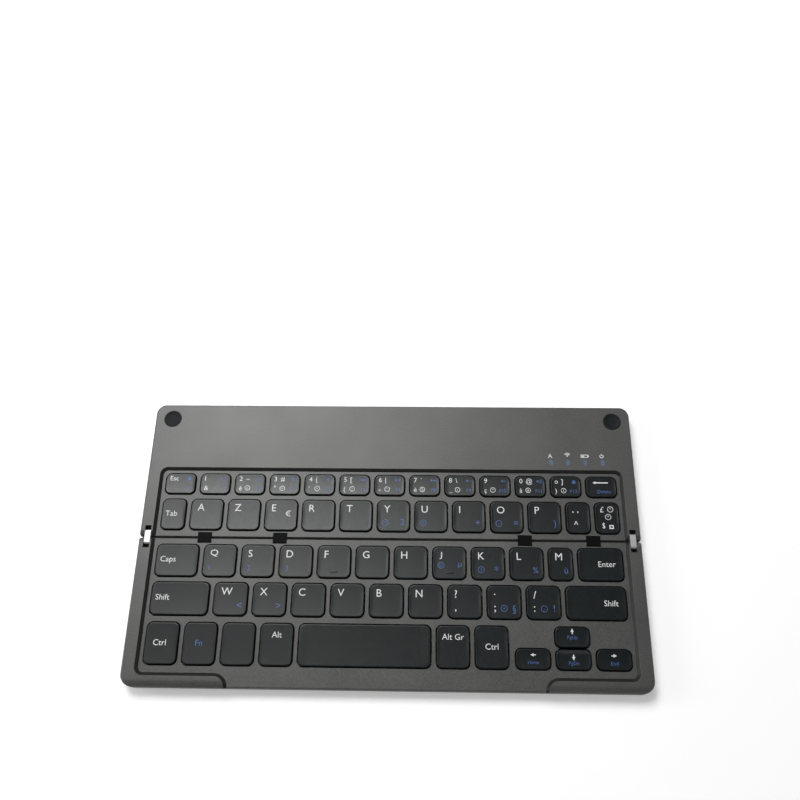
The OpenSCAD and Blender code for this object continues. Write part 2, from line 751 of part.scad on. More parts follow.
module lower_key_plate() lower() key_plate(front_keys, front_deck_v + 3.4);
module upper_key_plate() key_plate(rear_keys, rear_deck_v + 0.8);

// Printed switch membrane below a half's keys
module membrane(v1) {
    v0 = seam_margin + 0.3;
    color([0.72, 0.74, 0.70]) translate([0, (v0 + v1) / 2, membrane_z]) linear_extrude(membrane_t)
        round_rect(2 * deck_half_w + 0.8, v1 - v0, plate_r);
}

module lower_membrane() lower() membrane(front_deck_v - 0.4);

// The rear membrane has a tail that ends below the circuit board
module upper_membrane() {
    v1 = rear_deck_v;
    tail_w = 16;
    tail_v = board_v - board_d / 2 + 5;
    membrane(v1);
    color([0.72, 0.74, 0.70]) translate([board_x - tail_w / 2, v1 - 1, membrane_z])
        cube([tail_w, tail_v - v1 + 1, membrane_t]);
}

// Rubber dome below each key, as high as the key's plunger reaches down
module domes(keys) {
    color([0.86, 0.86, 0.84]) for (k = keys) translate([k[0], k[1], stack_z]) {
        cylinder(h = dome_lip, d = dome_d);
        translate([0, 0, dome_lip - eps])
            cylinder(h = dome_top_z - stack_z - dome_lip + eps, d1 = dome_d - 2 * dome_lip,
                d2 = dome_top_d);
    }
}

module lower_domes() lower() domes(front_keys);
module upper_domes() domes(rear_keys);

// Key cap in an opening: skirt, rounded shoulder, retaining tabs, hollow and plunger
module key_cap(opening_w, opening_d) {
    w = opening_w - 2 * key_gap;
    d = opening_d - 2 * key_gap;
    r = key_opening_r - key_gap;
    shoulder_z = key_z - key_shoulder_h;
    difference() {
        union() {
            round_frustum(w, d, r, key_draft, key_low_z, shoulder_z);
            round_frustum(w - 2 * key_draft, d - 2 * key_draft, r - key_draft,
                key_shoulder_run, shoulder_z - eps, key_z);
            translate([-w / 2 - key_tab, -key_tab_l / 2, key_low_z])
                cube([w + 2 * key_tab, key_tab_l, key_tab_h]);
        }
        translate([0, 0, key_low_z - 1]) linear_extrude(key_z - key_top_t - key_low_z + 1)
            round_rect(w - 2 * key_wall, d - 2 * key_wall, r - key_wall);
    }
    translate([0, 0, dome_top_z]) cylinder(h = key_z - key_top_t - dome_top_z + eps, d = dome_top_d);
}

// Raised bar on a home key, near its front edge
module home_bar(opening_d) {
    bar_w = 4;
    bar_d = 0.7;
    bar_v = opening_d / 2 - key_gap - home_bar_in;
    translate([-bar_w / 2, bar_v, key_z - eps]) cube([bar_w, bar_d, home_bar_h + eps]);
}

module key_row(keys) {
    color([0.13, 0.13, 0.13]) for (k = keys)
        translate([k[0], k[1], 0]) key_cap(k[2], k[3]);
}

module number_row_keys() key_row(number_row);
module letter_row_keys() key_row(letter_row);

module front_key(i) {
    k = front_keys[i];
    color([0.13, 0.13, 0.13]) lower() translate([k[0], k[1], 0]) {
        key_cap(k[2], k[3]);
        for (name = home_bar_keys) if (name == front_key_names[i]) home_bar(k[3]);
    }
}

module battery() {
    fold = 1;
    color([0.75, 0.76, 0.78]) translate([battery_x, battery_v, cover_z]) {
        linear_extrude(battery_t) round_rect(battery_w, battery_d, 1.2);
        translate([battery_w / 2 - eps, -battery_d / 2 + 2, 0.8]) cube([fold, battery_d - 4, 0.6]);
    }
}

// Board with its radio shield, controller and the lamps below the status lenses
module circuit_board() {
    cut_w = socket_w + 0.1;
    shield = [12, 10, 1.4];
    chip = [7, 7, 1];
    led = [1.6, 1, led_h];
    color([0.05, 0.28, 0.16]) translate([0, 0, board_z]) difference() {
        translate([board_x, board_v, 0]) linear_extrude(board_t) round_rect(board_w, board_d, 1);
        translate([socket_x - cut_w / 2, half_d - socket_l - 0.2, -1]) cube([cut_w, big, 3]);
    }
    color([0.7, 0.7, 0.7]) translate([0, 0, board_z + board_t - eps]) {
        translate([board_x, board_v, 0]) rotate([0, 0, 180]) cube(shield);
        translate([board_x - board_w / 2 + chip[0], board_v - chip[1], 0]) cube(chip);
        for (i = [0 : lens_n - 1]) translate([lens_x + i * lens_pitch - led[0] / 2, lens_v - led[1] / 2, 0])
            cube(led);
    }
}

// Charging socket: a half-round-ended shell with a tongue, closed at its back
module charging_socket() {
    shell_t = 0.3;
    tongue = [6.7, 0.7, 5];
    mount = [socket_w + 3, 3, socket_mount_t];
    color([0.78, 0.78, 0.8]) translate([socket_x, half_d - 0.15, socket_z]) rotate([90, 0, 0]) {
        difference() {
            linear_extrude(socket_l) socket_outline(0);
            translate([0, 0, -1]) linear_extrude(socket_l - shell_t + 1) socket_outline(-shell_t);
        }
        translate([0, 0, socket_l - tongue[2]]) linear_extrude(tongue[2])
            square([tongue[0], tongue[1]], center = true);
    }
    color([0.78, 0.78, 0.8]) difference() {
        translate([socket_x - mount[0] / 2, half_d - socket_l, board_z + board_t]) cube(mount);
        translate([socket_x, half_d, socket_z]) rotate([90, 0, 0])
            linear_extrude(socket_l + 1) socket_outline(-shell_t);
    }
}

// Four light studs on one strip below the band
module status_lenses() {
    strip_t = 0.5;
    strip_l = (lens_n - 1) * lens_pitch + lens_w + 2;
    top = rim_z - 0.05;
    led_z = board_z + board_t + led_h;
    color([0.6, 0.66, 0.75, 0.9]) {
        translate([lens_x - lens_w / 2 - 1, lens_v - lens_l / 2 - 0.5, band_low_z - strip_t])
            cube([strip_l, lens_l + 1, strip_t]);
        for (i = [0 : lens_n - 1]) translate([lens_x + i * lens_pitch, lens_v, 0]) {
            translate([0, 0, band_low_z - eps]) linear_extrude(top - band_low_z + eps)
                round_rect(lens_w, lens_l, 0.4);
            translate([0, 0, led_z]) cylinder(h = band_low_z - strip_t - led_z + eps, d = 1.6);
        }
    }
}

module closing_bumpers() {
    proud = closed_gap - 0.05;
    color([0.05, 0.05, 0.05]) for (x = [-1, 1])
        translate([x * (case_w / 2 - bumper_x_in), half_d - bumper_y_in, deck_z])
            cylinder(h = deck_drop + proud, d = bumper_d);
}

module closing_magnets() {
    color([0.7, 0.7, 0.72]) for (x = [-1, 1])
        translate([x * magnet_x, magnet_v, magnet_z])
            cylinder(h = magnet_t, d = magnet_d);
}

lower_case();
lower_bottom_cover();
lower_key_plate();
lower_membrane();
lower_domes();
lower_feet();
lower_screws();
lower_hinge_pins();
side_hinge_links();
cable_bridges();
upper_case();
upper_bottom_cover();
upper_key_plate();
upper_membrane();
upper_domes();
upper_feet();
upper_screws();
upper_hinge_pins();
battery();
circuit_board();
charging_socket();
status_lenses();
closing_bumpers();
closing_magnets();
number_row_keys();
letter_row_keys();
for (i = [0 : len(front_keys) - 1])
    front_key(i);
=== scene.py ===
"""Folding keyboard, opened flat on a pale floor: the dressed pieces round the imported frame.

All lengths are in metres, in the part's own frame: X along the keyboard, Y to its rear edge, Z up.
The signs on the keys are drawn and placed in millimetres.
"""
import json
import math

import bmesh
import bpy
import numpy as np
from mathutils import Matrix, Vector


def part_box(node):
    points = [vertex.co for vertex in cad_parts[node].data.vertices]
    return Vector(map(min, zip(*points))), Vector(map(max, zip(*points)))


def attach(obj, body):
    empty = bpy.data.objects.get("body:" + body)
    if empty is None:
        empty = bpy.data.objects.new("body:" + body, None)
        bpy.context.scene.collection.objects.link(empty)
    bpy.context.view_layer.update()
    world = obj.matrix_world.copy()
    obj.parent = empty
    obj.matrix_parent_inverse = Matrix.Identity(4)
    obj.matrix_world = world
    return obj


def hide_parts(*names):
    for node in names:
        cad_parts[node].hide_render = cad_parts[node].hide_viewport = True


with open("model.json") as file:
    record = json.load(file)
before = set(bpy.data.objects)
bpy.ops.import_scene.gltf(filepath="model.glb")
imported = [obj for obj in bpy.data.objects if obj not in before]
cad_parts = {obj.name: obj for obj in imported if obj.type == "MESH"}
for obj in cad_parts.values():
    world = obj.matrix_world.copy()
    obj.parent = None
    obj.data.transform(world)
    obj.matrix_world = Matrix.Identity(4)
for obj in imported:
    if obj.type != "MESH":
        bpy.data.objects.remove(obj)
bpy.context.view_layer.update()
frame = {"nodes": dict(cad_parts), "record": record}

MM = 0.001

# Key caps, as the solids have them: retaining lips, corners, shoulders, walls and home bars
KEY_TAB = 0.6 * MM
KEY_TAB_L = 5 * MM
KEY_TAB_H = 0.6 * MM
CAP_CORNER_R = 2.9 * MM
SHOULDER_H = 0.5 * MM
SHOULDER_RUN = 0.5 * MM
KEY_DRAFT = 0.1 * MM
KEY_WALL = 0.9 * MM
KEY_TOP_T = 1.0 * MM
TAB_CAP_W = 12.3 * MM
HOME_BAR_H = 0.25 * MM
HOME_BAR_IN = 3.6 * MM
HOME_BAR_HALF_W = 2 * MM
HOME_BAR_HALF_D = 0.35 * MM

# Shells, lenses and bumpers, as the solids have them
RIM_W = 6.25 * MM
DECK_DROP = 1.4 * MM
LENS_N = 4
LENS_W = 2 * MM
LENS_FLANGE = 1 * MM
BUMPER_D = 9.2 * MM

# What the dressed key caps add: a round top edge, a dished top and one key's sloped rear
TOP_INSET = KEY_DRAFT + SHOULDER_RUN
EDGE_R = 0.18 * MM
DISH = 0.1 * MM
DISH_EASE = 0.1
REAR_SLOPE_RUN = 2.0 * MM
REAR_SLOPE_DROP = {"key_down": 0.7 * MM}
HOME_BAR_R = 0.34 * MM
HOME_BAR_ROOT = 0.1 * MM
SIDE_BAND = 0.2 * MM

FRONT_KEYS = [
    "key_caps", "key_q", "key_s", "key_d", "key_f", "key_g", "key_h", "key_j", "key_k", "key_l",
    "key_m", "key_enter",
    "key_left_shift", "key_w", "key_x", "key_c", "key_v", "key_b", "key_n", "key_comma",
    "key_period", "key_slash", "key_right_shift",
    "key_left_ctrl", "key_fn", "key_system", "key_alt", "key_space", "key_alt_gr",
    "key_right_ctrl",
    "key_left", "key_up", "key_down", "key_right"]
HOME_BAR_KEYS = ("key_f", "key_j")


def corners(node):
    """The lowest and highest corner of a CAD node as two arrays."""
    low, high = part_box(node)
    return np.array(low), np.array(high)


CASE_LOW, CASE_HIGH = corners("lower_case")
RIM_Z = CASE_HIGH[2]
DECK_Z = RIM_Z - DECK_DROP


# Meshes

def new_object(name, points, faces, material):
    """An object in the scene, made from arrays of points and faces, with one material."""
    mesh = bpy.data.meshes.new(name)
    mesh.from_pydata(np.asarray(points).tolist(), [], faces)
    mesh.validate()
    mesh.update()
    mesh.materials.append(material)
    made = bpy.data.objects.new(name, mesh)
    bpy.context.scene.collection.objects.link(made)
    return made


def put_mesh(name, points, faces, body, material, slot_name, replaced=()):
    """A new piece from arrays of points and faces, riding on a body, with its finish."""
    piece = new_object(name, points, faces, material)
    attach(piece, body)
    if replaced:
        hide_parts(*replaced)
    return piece


def shade(piece, angle=35.0):
    """Smooth shading, with edges sharper than the angle kept sharp."""
    mesh = piece.data
    mesh.shade_smooth()
    mesh.set_sharp_from_angle(angle=math.radians(angle))


def merged(mesh, distance):
    """An editable copy of a mesh, with points closer than a distance made one."""
    shell = bmesh.new()
    shell.from_mesh(mesh)
    bmesh.ops.remove_doubles(shell, verts=shell.verts, dist=distance)
    return shell


def triangles(shell):
    """The points and triangles of an editable mesh, which ends here."""
    bmesh.ops.triangulate(shell, faces=shell.faces)
    shell.verts.index_update()
    points = np.array([corner.co for corner in shell.verts])
    faces = [[corner.index for corner in face.verts] for face in shell.faces]
    shell.free()
    return points, faces


def outline(half_w, half_d, radius, corner_steps=7, side_steps=7):
    """Rounded rectangle as one closed loop, anticlockwise.

    Each corner is a quarter circle about (half_w - radius, half_d - radius), and each straight
    side between two corners is cut into equal steps.
    """
    quarter = np.linspace(0, math.pi / 2, corner_steps)
    rounds = []
    for k, (side_x, side_y) in enumerate([(1, 1), (-1, 1), (-1, -1), (1, -1)]):
        turn = quarter + k * math.pi / 2
        rounds.append(np.stack([side_x * (half_w - radius) + radius * np.cos(turn),
                                side_y * (half_d - radius) + radius * np.sin(turn)], axis=1))
    share = np.arange(1, side_steps)[:, None] / side_steps
    points = []
    for this, following in zip(rounds, rounds[1:] + rounds[:1]):
        points += [this, this[-1] + (following[0] - this[-1]) * share]
    return np.concatenate(points)


def skin(rings, first_pole=None, last_pole=None):
    """Quads between neighbouring closed rings, and fans from the first and last ring to poles.

    rings is levels x points x 3. The path runs so that, seen against its outward side, a ring
    turns anticlockwise.
    """
    levels, count = rings.shape[:2]
    level = np.arange(levels - 1)[:, None] * count
    here = np.arange(count)[None, :]
    beside = (here + 1) % count
    quads = np.stack([level + here, level + beside, level + count + beside, level + count + here],
                     axis=-1)
    faces = quads.reshape(-1, 4).tolist()
    points = rings.reshape(-1, 3)
    if first_pole is not None:
        pole = np.full(count, len(points))
        points = np.vstack([points, first_pole])
        faces += np.stack([pole, beside[0], here[0]], axis=1).tolist()
    if last_pole is not None:
        pole = np.full(count, len(points))
        points = np.vstack([points, last_pole])
        last = (levels - 1) * count
        faces += np.stack([pole, last + here[0], last + beside[0]], axis=1).tolist()
    return points, faces


def turned(profile, steps):
    """Rings of a profile of radius and height, turned once round the upright axis."""
    angle = np.linspace(0, 2 * math.pi, steps, endpoint=False)
    return np.array([np.column_stack([radius * np.cos(angle), radius * np.sin(angle),
                                      np.full(steps, z)])
                     for radius, z in profile])


def joined(parts):
    """Several (points, faces) pairs as one pair."""
    points, faces, count = [], [], 0
    for part_points, part_faces in parts:
        points.append(part_points)
        faces += [[corner + count for corner in face] for face in part_faces]
        count += len(part_points)
    return np.vstack(points), faces


# Key caps

def dish(y, half_d):
    """Height of a cap's top below its rim: a shallow trough, deepest along its middle line.

    The depth falls off with the square of the distance from that line.
    """
    return -DISH * (1 - np.clip(np.abs(y) / half_d, 0, 1) ** 2)


def cap_shape(x, y, half_w, half_d, low_z, top_z, rear_slope=0.0):
    """A hollow key cap about (x, y).

    A rounded rectangle is carried along a profile of inset and height: across the hollow's
    ceiling, down its wall, round the skirt's foot with its retaining lip, up the side, which
    leans in more and more, over a small round edge, and in over the dished top, where it shrinks
    to the middle. The dish comes to its full depth over the first tenth of that way. A rear slope
    drops the top in a straight line over its last run before the rear edge. The side's faces come
    first, up to the returned count.
    """
    ceiling = top_z - KEY_TOP_T
    foot_top = low_z + KEY_TAB_H
    side_top = top_z - SHOULDER_H
    lean_top = top_z - EDGE_R
    lean = KEY_DRAFT + SHOULDER_RUN - EDGE_R
    side = [(KEY_DRAFT * share, foot_top + (side_top - foot_top) * share)
            for share in (0.02, 0.5, 1.0)]
    side += [(KEY_DRAFT + (lean - KEY_DRAFT) * share, side_top + (lean_top - side_top) * share)
             for share in (0.5, 1.0)]
    edge = [(lean + EDGE_R * (1 - math.cos(turn)), lean_top + EDGE_R * math.sin(turn))
            for turn in np.linspace(0, math.pi / 2, 5)[1:]]

    def ring(inset, z, lip=0.0, shrink=1.0):
        loop = outline(half_w - inset, half_d - inset, CAP_CORNER_R - inset) * shrink
        at_side = np.abs(loop[:, 0]) > half_w - inset - SIDE_BAND
        at_lip = at_side & (np.abs(loop[:, 1]) <= KEY_TAB_L / 2)
        loop[:, 0] += lip * np.sign(loop[:, 0]) * at_lip
        return np.column_stack([loop, np.full(len(loop), z)])

    rings = [ring(KEY_WALL, ceiling, shrink=share) for share in (0.5, 1.0)]
    rings.append(ring(KEY_WALL, low_z))
    rings.append(ring(0, low_z, lip=KEY_TAB))
    rings.append(ring(0, foot_top, lip=KEY_TAB))
    rings += [ring(inset, z) for inset, z in side]
    side_faces = (len(rings) - 1) * len(rings[0])
    rings += [ring(inset, z) for inset, z in edge]
    for share in (0.97, 0.9, 0.78, 0.6, 0.4, 0.2):
        top = ring(TOP_INSET, top_z, shrink=share)
        top[:, 2] += dish(top[:, 1], half_d - TOP_INSET) * min(1.0, (1 - share) / DISH_EASE)
        rings.append(top)
    rings = np.array(rings)
    if rear_slope:
        past = np.clip(rings[..., 1] - (half_d - REAR_SLOPE_RUN), 0, None) / REAR_SLOPE_RUN
        rings[..., 2] -= rear_slope * past * (rings[..., 2] > side_top)
    points, faces = skin(rings, [0, 0, ceiling], [0, 0, top_z - DISH])
    return points + [x, y, 0], faces, side_faces


def put_caps(name, caps, extra, body, node):
    """One piece of several caps, their sides in a darker, less glossy finish that paints the shade
    on them, and all else in the key plastic.

    The extra shapes, such as a home bar, are in the key plastic too.
    """
    points, faces = joined([cap[:2] for cap in caps] + extra)
    piece = put_mesh(name, points, faces, body, key_plastic.material, "key_plastic", [node])
    # The second finish paints shade on the caps' sides
    piece.data.materials.append(key_side_shade.material)
    places = np.zeros(len(faces), dtype=np.int32)
    start = 0
    for _, cap_faces, side_faces in caps:
        places[start:start + side_faces] = 1
        start += len(cap_faces)
    piece.data.polygons.foreach_set("material_index", places)
    shade(piece)


def bar_shape(x, y, low_z, top_z):
    """The raised bar of a home key: a rounded strip carried up, then drawn in over its top."""
    levels = [(0, low_z), (0, top_z - 0.1 * MM), (0.06 * MM, top_z - 0.03 * MM), (0.14 * MM, top_z)]
    rings = []
    for inset, z in levels:
        loop = outline(HOME_BAR_HALF_W - inset, HOME_BAR_HALF_D - inset, HOME_BAR_R - inset, 5, 2)
        rings.append(np.column_stack([loop, np.full(len(loop), z)]))
    points, faces = skin(np.array(rings), [0, 0, low_z], [0, 0, top_z])
    return points + [x, y, 0], faces


def cap_rectangle(node):
    """(x, y, half width, half depth) of a key that has a node of its own."""
    low, high = corners(node)
    return ((low[0] + high[0]) / 2, (low[1] + high[1]) / 2,
            (high[0] - low[0]) / 2 - KEY_TAB, (high[1] - low[1]) / 2)


def row_rectangles(node, widths):
    """The rectangles of a row's caps, side by side with the caps' usual space between them.

    The caps whose width isn't given share what is left of the row.
    """
    low, high = corners(node)
    y, half_d = (low[1] + high[1]) / 2, (high[1] - low[1]) / 2
    space = corners("key_s")[0][0] - corners("key_q")[1][0] + 2 * KEY_TAB
    left = low[0] + KEY_TAB
    given = [width for width in widths if width]
    rest = ((high[0] - low[0] - 2 * KEY_TAB - sum(given) - (len(widths) - 1) * space)
            / (len(widths) - len(given)))
    rectangles = []
    for width in widths:
        width = width or rest
        rectangles.append((left + width / 2, y, width / 2, half_d))
        left += width + space
    return rectangles


LETTER_CAP_W = 2 * cap_rectangle("key_q")[2]
NUMBER_ROW = row_rectangles("number_row_keys", [None] * 13)
LETTER_ROW = row_rectangles("letter_row_keys", [TAB_CAP_W] + [LETTER_CAP_W] * 10 + [None] * 2)


# Finishes

NOISE_ROUGHNESS = 0.6
FINE_SHARE, SLOW_SHARE = 0.7, 0.3
ROUGH_SPREAD = 0.06
FINISHES = {}

for node in frame["nodes"].values():
    node.data.materials.clear()
for plain in list(bpy.data.materials):
    bpy.data.materials.remove(plain)


class Finish:
    """A node material in the making, with short calls for the nodes that it uses."""

    def __init__(self, name):
        self.material = bpy.data.materials.new(name)
        self.material.use_nodes = True
        self.tree = self.material.node_tree
        self.shader = self.tree.nodes["Principled BSDF"]
        self.place = self.tree.nodes.new("ShaderNodeTexCoord").outputs["Object"]

    def feed(self, socket, value):
        """Links a value to a socket where it comes from a node, and sets it there otherwise."""
        if isinstance(value, bpy.types.NodeSocket):
            self.tree.links.new(value, socket)
        else:
            socket.default_value = value

    def node(self, kind, **inputs):
        """A new node, with its named inputs fed."""
        made = self.tree.nodes.new(kind)
        for key, value in inputs.items():
            self.feed(made.inputs[key], value)
        return made

    def noise(self, scale, detail=3.0, stretch=(1, 1, 1)):
        """Noise in the part's own frame, which can be stretched along its axes."""
        mapped = self.node("ShaderNodeMapping", Vector=self.place, Scale=stretch)
        made = self.node("ShaderNodeTexNoise", Vector=mapped.outputs[0], Scale=scale,
                         Detail=detail, Roughness=NOISE_ROUGHNESS)
        return made.outputs["Fac"]

    def math(self, operation, a, b=0.0, c=0.0):
        """A calculation with up to three values."""
        made = self.tree.nodes.new("ShaderNodeMath")
        made.operation = operation
        for socket, value in zip(made.inputs, (a, b, c)):
            self.feed(socket, value)
        return made.outputs[0]

    def span(self, value, low, high, source=(0.3, 0.7)):
        """A value that is moved from the source's span to the span from low to high."""
        made = self.node("ShaderNodeMapRange", Value=value)
        for socket, number in zip(list(made.inputs)[1:5], (*source, low, high)):
            socket.default_value = number
        return made.outputs[0]

    def mix(self, share, a, b):
        """A colour between two."""
        made = self.tree.nodes.new("ShaderNodeMix")
        made.data_type = "RGBA"
        for socket, value in ((made.inputs[0], share), (made.inputs[6], a), (made.inputs[7], b)):
            self.feed(socket, value)
        return made.outputs[2]

    def colour(self, value):
        """The surface's colour."""
        self.feed(self.shader.inputs["Base Color"], value)

    def rough(self, value):
        """The surface's roughness."""
        self.feed(self.shader.inputs["Roughness"], value)

    def bump(self, height, strength, distance):
        """Small unevenness of the surface."""
        made = self.node("ShaderNodeBump", Height=height, Strength=strength, Distance=distance)
        self.feed(self.shader.inputs["Normal"], made.outputs[0])


def tint(colour, factor):
    """A colour made darker or lighter by a factor, with full opacity."""
    return tuple(min(1.0, channel * factor) for channel in colour) + (1.0,)


def grained(name, colour, rough, grain=2600.0, contrast=0.12, depth=0.02 * MM, strength=0.3,
            metallic=0.0, specular=0.5, stretch=(1, 1, 1), mottle=30.0):
    """Fine grain in colour, roughness and height, over slow mottling of the colour.

    The finish is kept under its name, which is a slot's name in the record for most.
    """
    finish = Finish(name)
    fine = finish.noise(grain, stretch=stretch)
    slow = finish.noise(mottle, 2.0)
    blend = finish.math("ADD", finish.math("MULTIPLY", fine, FINE_SHARE),
                        finish.math("MULTIPLY", slow, SLOW_SHARE))
    share = finish.span(blend, 0.0, 1.0)
    finish.colour(finish.mix(share, tint(colour, 1 - contrast), tint(colour, 1 + contrast)))
    finish.rough(finish.span(fine, rough - ROUGH_SPREAD, rough + ROUGH_SPREAD))
    finish.bump(fine, strength, depth)
    finish.shader.inputs["Metallic"].default_value = metallic
    finish.shader.inputs["Specular IOR Level"].default_value = specular
    FINISHES[name] = finish
    return finish


case_paint = grained("case_paint", (0.083, 0.084, 0.081), 0.46, grain=1700.0, contrast=0.34,
                     strength=0.4, metallic=0.3)
key_plastic = grained("key_plastic", (0.0022, 0.0052, 0.0056), 0.34, grain=1500.0, contrast=0.3,
                      depth=0.03 * MM, strength=0.5, specular=0.42)
# Painted shade on the key caps' sides: darker and less glossy than the key plastic
key_side_shade = grained("key_side_shade", (0.003, 0.003, 0.003), 0.5, contrast=0.18, strength=0.35,
                   specular=0.05)
black_rubber = grained("black_rubber", (0.004, 0.0065, 0.0075), 0.65, grain=2200.0, contrast=0.2,
                       depth=0.03 * MM, strength=0.5, specular=0.22)
legend_white = grained("legend_white", (0.78, 0.78, 0.78), 0.5, grain=3000.0, contrast=0.05)
legend_blue = grained("legend_blue", (0.055, 0.12, 0.33), 0.5, grain=3000.0, contrast=0.08)
grained("cover_plastic", (0.035, 0.035, 0.036), 0.6, grain=1500.0, contrast=0.15,
        depth=0.04 * MM, strength=0.5)
grained("bridge_plastic", (0.002, 0.002, 0.002), 0.55, grain=2400.0, contrast=0.2, specular=0.07)
grained("bright_steel", (0.51, 0.51, 0.52), 0.5, grain=900.0, contrast=0.06, depth=0.01 * MM,
        strength=0.2, metallic=1.0, stretch=(0.1, 1, 1))
grained("dark_steel", (0.16, 0.16, 0.17), 0.38, grain=900.0, depth=0.01 * MM, strength=0.2,
        metallic=1.0)
grained("plate_steel", (0.50, 0.51, 0.53), 0.42, grain=300.0, contrast=0.1, depth=0.01 * MM,
        strength=0.2, metallic=1.0)
grained("socket_steel", (0.62, 0.62, 0.63), 0.3, grain=900.0, contrast=0.06, depth=0.01 * MM,
        strength=0.2, metallic=1.0, stretch=(1, 0.1, 1))
grained("magnet_plating", (0.66, 0.65, 0.62), 0.22, grain=900.0, contrast=0.05, metallic=1.0)
grained("battery_foil", (0.60, 0.61, 0.63), 0.35, grain=500.0, contrast=0.08, depth=0.04 * MM,
        metallic=0.9)
grained("membrane_film", (0.62, 0.64, 0.60), 0.4, grain=700.0, contrast=0.06)
grained("dome_rubber", (0.70, 0.70, 0.67), 0.5, grain=900.0, contrast=0.05)
grained("board_laminate", (0.02, 0.13, 0.06), 0.35, grain=900.0, contrast=0.15)
grained("lens_plastic", (0.11, 0.15, 0.21), 0.3, grain=900.0, contrast=0.1)

for row in frame["record"]["subparts"]:
    frame["nodes"][row["node"]].data.materials.append(FINISHES[row["material_slot"]].material)


# Front shell, with ledges that roll down to its front edge

ROLL_RUN = 3.6 * MM
ROLL_DROP = 0.9 * MM
ROLL_STEPS = 9


def rolled_ledges(node):
    """Points and triangles of the front shell, with its ledges' tops rolled down in front.

    The shell is cut across along lines near its front edge. Then every point sinks with the
    square of its way past the line where the roll begins, in full at the rim's height and less
    and less down to the deck's.
    """
    shell = merged(frame["nodes"][node].data, 1e-6)
    for line in CASE_LOW[1] + ROLL_RUN * np.linspace(0, 1, ROLL_STEPS)[1:]:
        bmesh.ops.bisect_plane(shell, geom=shell.verts[:] + shell.edges[:] + shell.faces[:],
                               dist=1e-7, plane_co=(0, line, 0), plane_no=(0, 1, 0))
    points, faces = triangles(shell)
    past = np.clip(CASE_LOW[1] + ROLL_RUN - points[:, 1], 0, None) / ROLL_RUN
    height = np.clip((points[:, 2] - DECK_Z) / (RIM_Z - DECK_Z), 0, 1)
    points[:, 2] -= ROLL_DROP * past ** 2 * height
    return points, faces


shade(put_mesh("front_shell", *rolled_ledges("lower_case"), "lower_half", case_paint.material,
               "case_paint", ["lower_case"]))


# Painted shade on the sloped walls between the decks and the rims

SLOPE_REACH = 0.1 * MM
SLOPE_MARGIN = 0.04 * MM
SLOPE_HALF_W = CASE_HIGH[0] - RIM_W + SLOPE_REACH
SLOPE_REAR_Y = 38 * MM
FRONT_EDGE = 0.9 * MM
LEDGE_END_X = 76 * MM


def paint_slope_shade(finish, colour, rough, specular):
    """Paints shade on the sloped walls between deck and rim: nearly black, with their own roughness
    and specular level.

    They are what lies between the deck's and the rim's height, inside the rim and in front of the
    rear band, but for the front edge of the ledges. Over the rolled ledges the rim's height falls
    with the square of the way past the line where the roll begins.
    """
    def both(a, b):
        """One where two values are one, and zero where either is zero: their product."""
        return finish.math("MULTIPLY", a, b)

    x, y, z = finish.node("ShaderNodeSeparateXYZ", Vector=finish.place).outputs
    in_rim = finish.math("LESS_THAN", finish.math("ABSOLUTE", x), SLOPE_HALF_W)
    between_ledges = finish.math("LESS_THAN", finish.math("ABSOLUTE", x), LEDGE_END_X)
    behind = finish.math("GREATER_THAN", y, CASE_LOW[1] + FRONT_EDGE)
    inside = both(in_rim, finish.math("MAXIMUM", behind, between_ledges))
    inside = both(inside, finish.math("LESS_THAN", y, SLOPE_REAR_Y))
    inside = both(inside, finish.math("GREATER_THAN", z, DECK_Z + SLOPE_MARGIN))
    past = finish.math("MULTIPLY_ADD", y, -1 / ROLL_RUN, CASE_LOW[1] / ROLL_RUN + 1)
    past = finish.math("MAXIMUM", past, 0.0)
    raised = finish.math("MULTIPLY_ADD", both(past, past), ROLL_DROP, z)
    inside = both(inside, finish.math("LESS_THAN", raised, RIM_Z - SLOPE_MARGIN))

    shader = finish.shader.inputs
    finish.colour(finish.mix(inside, shader["Base Color"].links[0].from_socket, colour))
    outside = finish.math("SUBTRACT", 1.0, inside)
    share = both(shader["Roughness"].links[0].from_socket, outside)
    finish.rough(finish.math("MULTIPLY_ADD", inside, rough, share))
    plain = shader["Specular IOR Level"].default_value
    finish.feed(shader["Specular IOR Level"],
                finish.math("MULTIPLY_ADD", inside, specular - plain, plain))


# The sloped walls' nearly black colour is painted shade
paint_slope_shade(case_paint, (0.016, 0.016, 0.016, 1.0), rough=0.4, specular=0.18)


# Key caps in place

KEY_RECTANGLES = {}
for name in FRONT_KEYS:
    low, high = corners(name)
    has_bar = name in HOME_BAR_KEYS
    top_z = high[2] - (HOME_BAR_H if has_bar else 0)
    x, y, half_w, half_d = cap_rectangle(name)
    cap = cap_shape(x, y, half_w, half_d, low[2], top_z, REAR_SLOPE_DROP.get(name, 0))
    bar_y = y - half_d + HOME_BAR_IN - HOME_BAR_HALF_D
    bars = [bar_shape(x, bar_y, top_z - DISH - HOME_BAR_ROOT, high[2])] if has_bar else []
    put_caps(name + "_cap", [cap], bars, name, name)
    KEY_RECTANGLES[name] = (x, y, half_w, half_d, top_z)
for node, rectangles in (("number_row_keys", NUMBER_ROW), ("letter_row_keys", LETTER_ROW)):
    low, high = corners(node)
    caps = [cap_shape(*rectangle, low[2], high[2]) for rectangle in rectangles]
    put_caps(node + "_caps", caps, [], node, node)


# Flat signs, drawn in millimetres round their middle

def circle(radius, steps=24, start=0.0, stop=360.0):
    """Points on a circle from one angle to another; a full turn leaves out the last point."""
    full = stop - start == 360.0
    angle = np.radians(np.linspace(start, stop, steps, endpoint=not full))
    return radius * np.column_stack([np.cos(angle), np.sin(angle)])


def hoop(outer, inner):
    """The flat band between two outlines of equal length, as a closed plate."""
    count = len(outer)
    path = ((outer, -1), (outer, 1), (inner, 1), (inner, -1), (outer, -1))
    rings = np.array([np.column_stack([loop, np.full(count, z)]) for loop, z in path])
    points, faces = skin(rings)
    return points[:4 * count], (np.array(faces) % (4 * count)).tolist()


